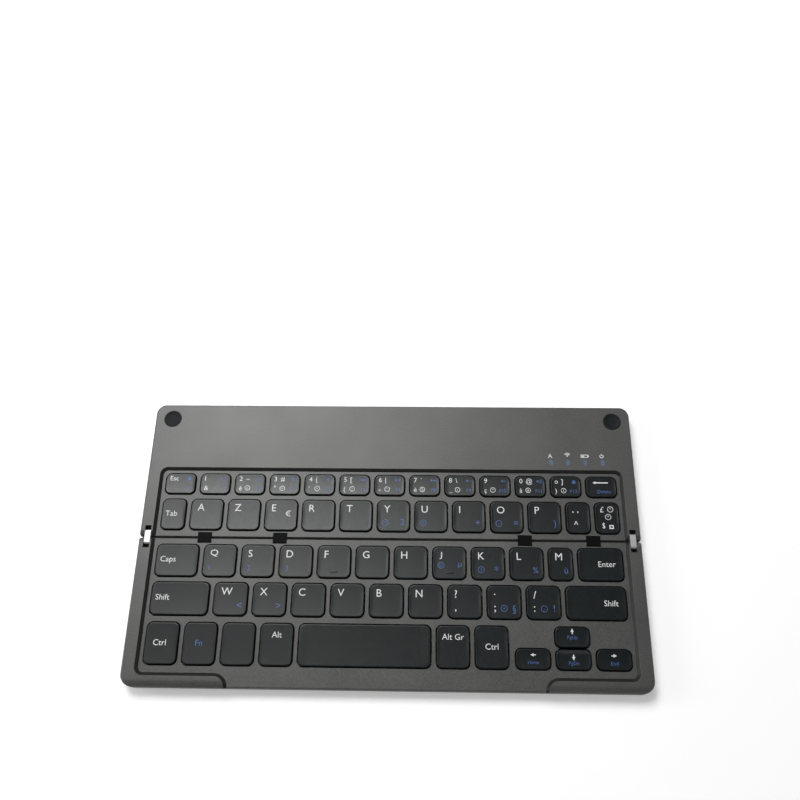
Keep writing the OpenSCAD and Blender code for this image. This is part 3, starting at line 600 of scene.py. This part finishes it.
def plate(loop):
    """A flat plate with the given anticlockwise outline."""
    loop = np.asarray(loop, dtype=float)
    count = len(loop)
    points = np.vstack([np.column_stack([loop, np.full(count, z)]) for z in (-1, 1)])
    here = np.arange(count)
    beside = (here + 1) % count
    sides = np.stack([here, beside, count + beside, count + here], axis=1).tolist()
    return points, sides + [here[::-1].tolist(), (count + here).tolist()]


def arc(radius, stroke, start, stop):
    """Part of a ring, from one angle to another, as a plate."""
    outer, inner = circle(radius, 12, start, stop), circle(radius - stroke, 12, start, stop)
    return plate(np.vstack([outer, inner[::-1]]))


def bar(x, y, width, height):
    """A flat bar centred at a point."""
    w, h = width / 2, height / 2
    return plate([(x - w, y - h), (x + w, y - h), (x + w, y + h), (x - w, y + h)])


def frame_mark(width, height, stroke):
    """A rectangle drawn as an outline."""
    outer = np.array([(-1, -1), (1, -1), (1, 1), (-1, 1)]) * [width / 2, height / 2]
    return hoop(outer, outer * [1 - 2 * stroke / width, 1 - 2 * stroke / height])


def arrow_mark(length, head, stroke, turn):
    """An arrow: a seven-cornered outline, turned by an angle, as a plate."""
    half, neck = length / 2, length / 2 - head
    loop = np.array([(-half, -stroke / 2), (neck, -stroke / 2), (neck, -head / 2), (half, 0),
                     (neck, head / 2), (neck, stroke / 2), (-half, stroke / 2)])
    angle = math.radians(turn)
    return plate(loop @ np.array([[math.cos(angle), math.sin(angle)],
                                  [-math.sin(angle), math.cos(angle)]]))


def wedge(x, side, size=1.5):
    """A triangle that points along X (side 1) or back (side -1), its base at x.

    It is four fifths as long as its base.
    """
    loop = [(x, -size / 2), (x + side * size * 0.8, 0), (x, size / 2)]
    return plate(loop if side > 0 else loop[::-1])


# Printed legends

LEGEND_RISE = 0.03 * MM
LEGEND_ROOT = 0.04 * MM
RING_STROKE = 0.26
RING_SIGN_SHARE = 0.95
GLYPHS = {}


def glyph(text):
    """Points and triangles of a text set in the built-in face, at a size of one, baseline at 0.

    Each text is made once and kept.
    """
    if text not in GLYPHS:
        curve = bpy.data.curves.new("legend_text", "FONT")
        curve.body = text
        curve.size = 1.0
        curve.extrude = 0.01
        curve.resolution_u = 3
        holder = bpy.data.objects.new("legend_text", curve)
        bpy.context.scene.collection.objects.link(holder)
        bpy.context.view_layer.update()
        ready = holder.evaluated_get(bpy.context.evaluated_depsgraph_get())
        mesh = bpy.data.meshes.new_from_object(ready)
        bpy.data.objects.remove(holder)
        GLYPHS[text] = triangles(merged(mesh, 1e-5))
    return GLYPHS[text]


CAPITAL_SHARE = float(np.ptp(glyph("H")[0][:, 1]))


def print_on(parts, shape, x, y, key):
    """Lays a flat shape on a key's dished top, or on a flat face at the key's height."""
    points, faces = shape
    _, key_y, _, half_d, top_z = key
    points = points + [x, y, 0]
    surface = top_z + (dish(points[:, 1] - key_y, half_d - TOP_INSET) if half_d else 0)
    points[:, 2] = surface + np.where(points[:, 2] > 0, LEGEND_RISE, -LEGEND_ROOT)
    parts.append((points, faces))


def legend(parts, text, key, spot, height):
    """A text on a key. The spot is how far it stands from the key's edges, in millimetres.

    spot = (side, distance, end, distance): side l, c or r, and end t, m or b. The height is that
    of a capital; distances run to the text's own outline across, and to baseline or capitals' top.
    """
    key_x, key_y, half_w, half_d = key[:4]
    side, across, end, along = spot
    across, along, height = across * MM, along * MM, height * MM
    points, faces = glyph(text)
    scale = height / CAPITAL_SHARE
    points = points * [scale, scale, 1]
    if len(text) == 1 and text.isupper():
        low_y, high_y = points[:, 1].min(), points[:, 1].max()
        points[:, 1] = (points[:, 1] - low_y) * height / (high_y - low_y)
    low_x, high_x = points[:, 0].min(), points[:, 0].max()
    x = {"l": key_x - half_w + across - low_x, "c": key_x + across - (low_x + high_x) / 2,
         "r": key_x + half_w - across - high_x}[side]
    y = {"t": key_y + half_d - along - height, "m": key_y + along - height / 2,
         "b": key_y - half_d + along}[end]
    print_on(parts, (points, faces), x, y, key)


def drawn(parts, shapes, key, across, along):
    """A sign from several flat shapes, laid on a key at a distance from its middle."""
    for points, faces in shapes:
        print_on(parts, (points * [MM, MM, 1], faces), key[0] + across * MM, key[1] + along * MM,
                 key)


def circled(parts, text, key, spot, radius=1.6):
    """A small sign in a ring, centred (across, along) from the key's left and front edges."""
    across, along = spot
    x = key[0] - key[2] + across * MM
    y = key[1] - key[3] + along * MM
    ring = hoop(circle(radius * MM), circle((radius - RING_STROKE) * MM))
    print_on(parts, ring, x, y, key)
    legend(parts, text, (x, y, 0, 0, key[4]), ("c", 0, "m", 0), radius * RING_SIGN_SHARE)


def put_legends(name, body, marks):
    """One legend piece for a body, white and blue, from lists of flat shapes."""
    parts = marks["white"] + marks["blue"]
    if not parts:
        return
    piece = put_mesh(name, *joined(parts), body, legend_white.material, "key_plastic")
    piece.data.materials.append(legend_blue.material)
    places = [place for place, colour in enumerate(("white", "blue"))
              for _, faces in marks[colour] for _ in faces]
    piece.data.polygons.foreach_set("material_index", places)


# Heights of capitals and spots that several legends share
LETTER_H = 3.55
WORD_H = 2.7
SMALL_H = 2.4
TINY_H = 1.75
LETTER = ("l", 3.5, "t", 2.7)
LOW_RIGHT = ("r", 2.8, "b", 3.6)
LOW_LEFT = ("l", 3.5, "b", 3.8)
LOW_DIGIT = ("l", 3.4, "b", 3.4)
MIDDLE = ("c", 0, "m", 0.3)


# Legends of the front half's keys

LETTER_KEYS = {"key_q": "Q", "key_s": "S", "key_d": "D", "key_f": "F", "key_g": "G", "key_h": "H",
               "key_j": "J", "key_k": "K", "key_l": "L", "key_m": "M", "key_w": "W", "key_x": "X",
               "key_c": "C", "key_v": "V", "key_b": "B", "key_n": "N", "key_comma": "?",
               "key_period": "\u00b7", "key_slash": "/"}
# Each further sign's text, spot, height and colour
MORE_SIGNS = {
    "key_caps": [("Caps", ("l", 2.4, "m", 0.6), WORD_H, "white")],
    "key_enter": [("Enter", ("r", 3.9, "m", 0.2), WORD_H, "white")],
    "key_left_shift": [("Shift", ("l", 2.4, "m", 0.6), WORD_H, "white")],
    "key_right_shift": [("Shift", ("r", 4.2, "m", 0.0), WORD_H, "white")],
    "key_left_ctrl": [("Ctrl", ("c", -0.9, "m", 0.3), WORD_H, "white")],
    "key_right_ctrl": [("Ctrl", MIDDLE, WORD_H, "white")],
    "key_fn": [("Fn", ("c", -0.4, "m", 0.3), WORD_H, "blue")],
    "key_alt": [("Alt", ("c", 0, "t", 4.1), WORD_H, "white")],
    "key_alt_gr": [("Alt Gr", ("c", 0, "t", 4.1), WORD_H, "white")],
    "key_q": [("1", LOW_DIGIT, 2.5, "blue")],
    "key_s": [("2", LOW_DIGIT, 2.5, "blue")],
    "key_d": [("3", LOW_DIGIT, 2.5, "blue")],
    "key_j": [("\u00b5", ("r", 2.4, "b", 6.4), 2.8, "blue")],
    "key_k": [("*", ("r", 3.2, "b", 3.0), 3.6, "blue")],
    "key_l": [("%", LOW_RIGHT, 2.8, "blue")],
    "key_m": [("\u00f9", LOW_RIGHT, 3.1, "blue")],
    "key_w": [("<", LOW_RIGHT, 3.2, "blue")],
    "key_x": [(">", LOW_RIGHT, 3.2, "blue")],
    "key_comma": [(",", LOW_LEFT, 3.8, "white")],
    "key_period": [(";", LOW_LEFT, 3.8, "white"), ("\u00a7", LOW_RIGHT, 3.1, "blue")],
    "key_slash": [(":", LOW_LEFT, 3.8, "white"), ("!", ("r", 3.1, "b", 3.8), 3.2, "blue")],
    "key_left": [("Home", ("c", 0, "b", 2.7), 1.45, "blue")],
    "key_up": [("PgUp", ("c", 0, "b", 4.1), 1.6, "blue")],
    "key_down": [("PgDn", ("c", 0, "b", 2.5), 1.55, "blue")],
    "key_right": [("End", ("c", 0, "b", 2.4), TINY_H, "blue")],
}
# Each sign in a ring, and its spot
CIRCLED_SIGNS = {"key_j": ("D", (4.2, 7.0)), "key_k": ("1", (4.9, 5.0)),
                 "key_period": ("+", (8.2, 5.2)), "key_slash": ("-", (8.5, 5.2))}
# Each arrow's angle, and its distance behind the key's middle
ARROWS = {"key_left": (180, 1.9), "key_up": (90, 2.8), "key_down": (-90, 0.9),
          "key_right": (0, 1.9)}
ARROW_LENGTH, ARROW_HEAD, ARROW_STROKE = 2.6, 1.6, 0.5

for name, key in KEY_RECTANGLES.items():
    marks = {"white": [], "blue": []}
    if name in LETTER_KEYS:
        legend(marks["white"], LETTER_KEYS[name], key, LETTER, LETTER_H)
    for text, spot, height, colour in MORE_SIGNS.get(name, []):
        legend(marks[colour], text, key, spot, height)
    if name in CIRCLED_SIGNS:
        text, spot = CIRCLED_SIGNS[name]
        circled(marks["blue"], text, key, spot)
    if name in ARROWS:
        turn, along = ARROWS[name]
        arrow = arrow_mark(ARROW_LENGTH, ARROW_HEAD, ARROW_STROKE, turn)
        drawn(marks["white"], [arrow], key, 0, along)
    put_legends("legend_" + name[4:], name, marks)


# Legends of the number row

# Each cap's upper sign, the one beside it, the lower sign, the sign in a ring and the blue word
NUMBER_ROW_SIGNS = [
    ("Esc", "", "", "", "F1"), ("1", "", "&", "", "F2"), ("2", "~", "\u00e9", "o", "F3"),
    ("3", "#", "\"", "=", "F4"), ("4", "{", "'", "+", "F5"), ("5", "[", "(", "!", "F6"),
    ("6", "|", "-", "*", "F7"), ("7", "`", "\u00e8", "%", "F8"), ("8", "\\", "_", "i", "F9"),
    ("9", "", "\u00e7", "^", "F10"), ("0", "@", "\u00e0", "#", "F11"),
    ("o", "]", ")", "1", "F12"), ("", "", "", "", "Delete")]
NUMBER_ROW_SPOTS = [("l", 2.3, "t", 1.6), ("l", 5.6, "t", 1.6), ("l", 2.3, "b", 2.2)]
NUMBER_RING_SPOT, NUMBER_RING_R = (6.6, 3.5), 1.35
FUNCTION_SPOT = ("r", 2.2, "b", 2.3)
DELETE_SPOT = ("r", 3.1, "b", 2.3)
SIGN_FROM_RIGHT, SIGN_FROM_REAR = 3.6, 2.9

DELETE_ARROW = [arrow_mark(7.8, 1.5, 0.6, 180)]
SPEAKER = plate([(-1.1, -0.35), (-0.6, -0.35), (0, -0.85), (0, 0.85), (-0.6, 0.35), (-1.1, 0.35)])
# The blue sign behind each cap's blue word, and none on the last cap
FUNCTION_SIGNS = [
    [plate([(-0.8, -1), (0.8, -1), (0.8, 0), (1.2, 0), (0, 1.1), (-1.2, 0), (-0.8, 0)])],
    [frame_mark(2.2, 1.7, 0.3), bar(0, -1.15, 1.4, 0.25)],
    [hoop(circle(0.9), circle(0.6)), bar(0.95, -0.95, 0.6, 0.3)],
    [frame_mark(1.6, 2.1, 0.3), bar(0, 0.1, 0.8, 0.3)],
    [bar(0, 0, 2.0, 0.35), bar(0, 0, 0.35, 2.0)],
    [bar(-1.6, 0, 0.3, 1.5), wedge(-0.1, -1), wedge(1.2, -1)],
    [wedge(-1.5, 1), bar(0.2, 0, 0.35, 1.5), bar(0.9, 0, 0.35, 1.5)],
    [wedge(-1.2, 1), wedge(0.1, 1), bar(1.6, 0, 0.3, 1.5)],
    [SPEAKER, bar(1.0, 0, 1.3, 0.3)],
    [SPEAKER, arc(1.0, 0.28, -50, 50)],
    [SPEAKER, arc(1.0, 0.28, -50, 50), arc(1.6, 0.28, -50, 50)],
    [bar(0, -0.4, 1.8, 1.3), arc(0.75, 0.3, 0, 180)],
    []]

marks = {"white": [], "blue": []}
row_top = corners("number_row_keys")[1][2]
keys = [(*rectangle, row_top) for rectangle in NUMBER_ROW]
for key, (*signs, ringed, word), shapes in zip(keys, NUMBER_ROW_SIGNS, FUNCTION_SIGNS):
    for text, spot in zip(signs, NUMBER_ROW_SPOTS):
        if text:
            legend(marks["white"], text, key, spot, SMALL_H)
    if ringed:
        circled(marks["white"], ringed, key, NUMBER_RING_SPOT, NUMBER_RING_R)
    legend(marks["blue"], word, key, DELETE_SPOT if word == "Delete" else FUNCTION_SPOT, TINY_H)
    drawn(marks["blue"], shapes, key, key[2] / MM - SIGN_FROM_RIGHT, key[3] / MM - SIGN_FROM_REAR)
drawn(marks["white"], DELETE_ARROW, keys[-1], -0.4, 2.2)
put_legends("legend_number_row", "number_row_keys", marks)


# Legends of the letter row behind the seam

LETTER_ROW_SIGNS = "AZERTYUIOP"
TAB, E, ACCENT, MONEY = 0, 3, 11, 12
# Place in the row, sign, spot, height and colour
MORE_ROW_SIGNS = [
    (6, "2", LOW_RIGHT, 3.1, "blue"), (8, "+", LOW_RIGHT, 3.1, "blue"),
    (9, "=", LOW_RIGHT, 3.1, "blue"), (10, ")", LOW_RIGHT, 3.1, "blue"),
    (ACCENT, "^", ("c", -1.2, "b", 3.2), 3.2, "white"),
    (MONEY, "\u00a3", ("l", 2.8, "t", 2.4), 2.8, "white"),
    (MONEY, "S", ("c", -2.0, "b", 2.9), 2.5, "white")]
# Place in the row, sign in the ring, the ring's spot, radius and colour
ROW_RINGS = [
    (6, "4", (4.3, 4.8), 1.6, "blue"), (7, "0", (4.3, 4.8), 1.6, "blue"),
    (9, "-", (4.3, 4.8), 1.6, "blue"),
    (MONEY, "*", (7.9, 12.6), 1.5, "white"), (MONEY, "*", (6.6, 8.7), 1.5, "white")]
# Place in the row, drawn sign, and its distance from the cap's middle across and along: the bar
# that makes the S a dollar sign, a euro sign, two dots over the accent and a small frame
ROW_DRAWINGS = [
    (MONEY, [bar(0, 0, 0.25, 3.1)], -2.0, -4.0),
    (E, [arc(1.5, 0.34, 55, 305), bar(-0.75, 0.3, 2.0, 0.26), bar(-0.75, -0.3, 2.0, 0.26)],
     LETTER_CAP_W / 2 / MM - 4.3, 0.8),
    (ACCENT, [plate(circle(0.36, 12) + [side * 1.2, 0]) for side in (-1, 1)], -1.2, 2.9),
    (MONEY, [frame_mark(2.2, 2.0, 0.55)], 1.8, -4.6)]

marks = {"white": [], "blue": []}
row_top = corners("letter_row_keys")[1][2]
keys = [(*rectangle, row_top) for rectangle in LETTER_ROW]
legend(marks["white"], "Tab", keys[TAB], ("l", 2.0, "m", 0.4), WORD_H)
for text, key in zip(LETTER_ROW_SIGNS, keys[1:]):
    legend(marks["white"], text, key, LETTER, LETTER_H)
for place, text, spot, height, colour in MORE_ROW_SIGNS:
    legend(marks[colour], text, keys[place], spot, height)
for place, text, spot, radius, colour in ROW_RINGS:
    circled(marks[colour], text, keys[place], spot, radius)
for place, shapes, across, along in ROW_DRAWINGS:
    drawn(marks["white"], shapes, keys[place], across, along)
put_legends("legend_letter_row", "letter_row_keys", marks)


# Signs behind the status lenses

SIGN_BEHIND = 3.5 * MM
SIGN_SHIFT = -0.3 * MM
SIGN_SCALE = 1.25
CAPITAL_SIGN_H = 2.3
# A capital letter, waves, a battery and a power sign
LENS_SIGNS = [
    None,
    [hoop(circle(0.3), circle(0.01)), arc(0.85, 0.28, 30, 150), arc(1.4, 0.28, 30, 150)],
    [frame_mark(3.0, 1.35, 0.28), bar(1.65, 0, 0.3, 0.6), bar(-0.6, 0, 1.0, 0.5)],
    [arc(0.85, 0.28, 120, 420), bar(0, 0.6, 0.28, 0.9)]]

marks = {"white": [], "blue": []}
low, high = corners("status_lenses")
first_lens = low[0] + LENS_FLANGE + LENS_W / 2
lens_span = high[0] - low[0] - 2 * LENS_FLANGE - LENS_W
for place, shapes in enumerate(LENS_SIGNS):
    x = first_lens + place * lens_span / (LENS_N - 1) + SIGN_SHIFT
    flat = (x, (low[1] + high[1]) / 2 + SIGN_BEHIND, 0, 0, RIM_Z)
    if shapes:
        scaled = [(points * [SIGN_SCALE, SIGN_SCALE, 1], faces) for points, faces in shapes]
        drawn(marks["white"], scaled, flat, 0, 0)
    else:
        legend(marks["white"], "A", flat, ("c", 0, "m", 0), CAPITAL_SIGN_H)
put_legends("legend_lenses", "upper_half", marks)


# Rubber bumpers

BUMPER_FOOT = 0.1 * MM
BUMPER_EDGE = 0.35 * MM


def bumper_shape(x, y, radius, low_z, top_z):
    """A bumper: its profile turned round the upright line through (x, y).

    The profile runs from a chamfered foot up the side, round a quarter circle at the top edge,
    and in to a shallow dip.
    """
    profile = [(radius - BUMPER_FOOT, low_z), (radius, low_z + BUMPER_FOOT),
               (radius, top_z - BUMPER_EDGE)]
    profile += [(radius - BUMPER_EDGE * (1 - math.cos(turn)),
                 top_z - BUMPER_EDGE * (1 - math.sin(turn)))
                for turn in np.linspace(0.2, math.pi / 2, 6)]
    profile += [(radius * share, top_z - dip)
                for share, dip in ((0.8, 0.0), (0.78, 0.05 * MM), (0.3, 0.06 * MM))]
    points, faces = skin(turned(profile, 64), [0, 0, low_z], [0, 0, profile[-1][1]])
    return points + [x, y, 0], faces


low, high = corners("closing_bumpers")
radius = BUMPER_D / 2
bumpers = [bumper_shape(side * (high[0] - radius), (low[1] + high[1]) / 2, radius, low[2], high[2])
           for side in (-1, 1)]
shade(put_mesh("rubber_bumpers", *joined(bumpers), "upper_half", black_rubber.material,
               "black_rubber", ["closing_bumpers"]))


# Camera

CAMERA_X, CAMERA_Y, CAMERA_OVER_RIM = 15.9 * MM, -105.97 * MM, 413.4 * MM
CAMERA_ELEVATION, CAMERA_YAW, CAMERA_ROLL = map(math.radians, (66.28, -3.58, -2.93))
FOCAL_PIXELS, FRAME_PIXELS = 847.0, 800.0
SENSOR_WIDTH = 36.0


def stand(name, data, place, side_way, upright, back):
    """A camera or lamp at a place, which looks against the last of its three axes."""
    made = bpy.data.objects.new(name, data)
    bpy.context.scene.collection.objects.link(made)
    matrix = np.eye(4)
    matrix[:3] = np.column_stack([side_way, upright, back, place])
    made.matrix_world = Matrix(matrix.tolist())
    return made


def unit(vector):
    """A vector of the same direction with a length of one."""
    return vector / np.linalg.norm(vector)


camera_data = bpy.data.cameras.new("photo_camera")
camera_data.sensor_width = SENSOR_WIDTH
camera_data.lens = SENSOR_WIDTH * FOCAL_PIXELS / FRAME_PIXELS
camera_data.clip_start = 0.01
ahead = np.array([math.sin(CAMERA_YAW) * math.cos(CAMERA_ELEVATION),
                  math.cos(CAMERA_YAW) * math.cos(CAMERA_ELEVATION),
                  -math.sin(CAMERA_ELEVATION)])
level = unit(np.cross(ahead, [0, 0, 1]))
upright = np.cross(level, ahead)
right = math.cos(CAMERA_ROLL) * level + math.sin(CAMERA_ROLL) * upright
up = -math.sin(CAMERA_ROLL) * level + math.cos(CAMERA_ROLL) * upright
bpy.context.scene.camera = stand("photo_camera", camera_data,
                                 (CAMERA_X, CAMERA_Y, CAMERA_OVER_RIM + RIM_Z), right, up, -ahead)


# Floor

FLOOR_RADIUS, COVE_RADIUS, WALL_TOP = 3.5, 0.6, 2.4
GLOW_NEAR, GLOW_FAR = 0.35, 0.95
GLOW_FROM, GLOW_TO = 0.35, 1.8


def sweep(steps=96):
    """A round floor that turns up into a wall through a quarter circle, seen from inside."""
    profile = [(radius, 0.0) for radius in (0.5, 1.5, FLOOR_RADIUS)]
    profile += [(FLOOR_RADIUS + COVE_RADIUS * math.sin(turn), COVE_RADIUS * (1 - math.cos(turn)))
                for turn in np.linspace(0, math.pi / 2, 10)[1:]]
    profile.append((FLOOR_RADIUS + COVE_RADIUS, WALL_TOP))
    points, faces = skin(turned(profile, steps), [0, 0, 0])
    return points, [face[::-1] for face in faces]


def glowing(finish):
    """Adds a glow that shows to the eye and in reflections, and lights nothing else.

    It grows in a straight line with the distance from the middle.
    """
    rays = finish.node("ShaderNodeLightPath").outputs
    seen = finish.math("MAXIMUM", rays["Is Camera Ray"], rays["Is Glossy Ray"])
    seen = finish.math("MAXIMUM", seen, rays["Is Transmission Ray"])
    reach = finish.node("ShaderNodeVectorMath", Vector=finish.place)
    reach.operation = "LENGTH"
    strength = finish.span(reach.outputs["Value"], GLOW_NEAR, GLOW_FAR, (GLOW_FROM, GLOW_TO))
    glow = finish.node("ShaderNodeEmission", Strength=finish.math("MULTIPLY", seen, strength))
    both = finish.node("ShaderNodeAddShader")
    finish.feed(both.inputs[0], finish.shader.outputs[0])
    finish.feed(both.inputs[1], glow.outputs[0])
    finish.feed(finish.tree.nodes["Material Output"].inputs["Surface"], both.outputs[0])


floor_paper = grained("floor_paper", (0.85, 0.85, 0.85), 0.8, grain=400.0, contrast=0.01,
                      strength=0.05)
glowing(floor_paper)
floor = new_object("floor", *sweep(), floor_paper.material)
floor.data.shade_smooth()


# Light

WORLD_STRENGTH = 0.12


def soft_light(name, place, target, size, power):
    """A square soft light that looks at a point."""
    data = bpy.data.lights.new(name, "AREA")
    data.shape = "SQUARE"
    data.size = size
    data.energy = power
    back = unit(np.array(place) - np.array(target))
    side_way = unit(np.cross([0, 0, 1], back))
    stand(name, data, place, side_way, np.cross(back, side_way), back)


soft_light("rear_left_softbox", place=(-0.31, 0.62, 1.08), target=(-0.05, 0, 0), size=0.6,
           power=13.5)
soft_light("left_strip", place=(-1.05, 0.1, 0.46), target=(0, 0, 0), size=0.4, power=3.6)

world = bpy.data.worlds.new("studio")
bpy.context.scene.world = world
world.use_nodes = True
world.node_tree.nodes["Background"].inputs["Color"].default_value = (1, 1, 1, 1)
world.node_tree.nodes["Background"].inputs["Strength"].default_value = WORLD_STRENGTH

bpy.context.scene.view_settings.view_transform = "Standard"
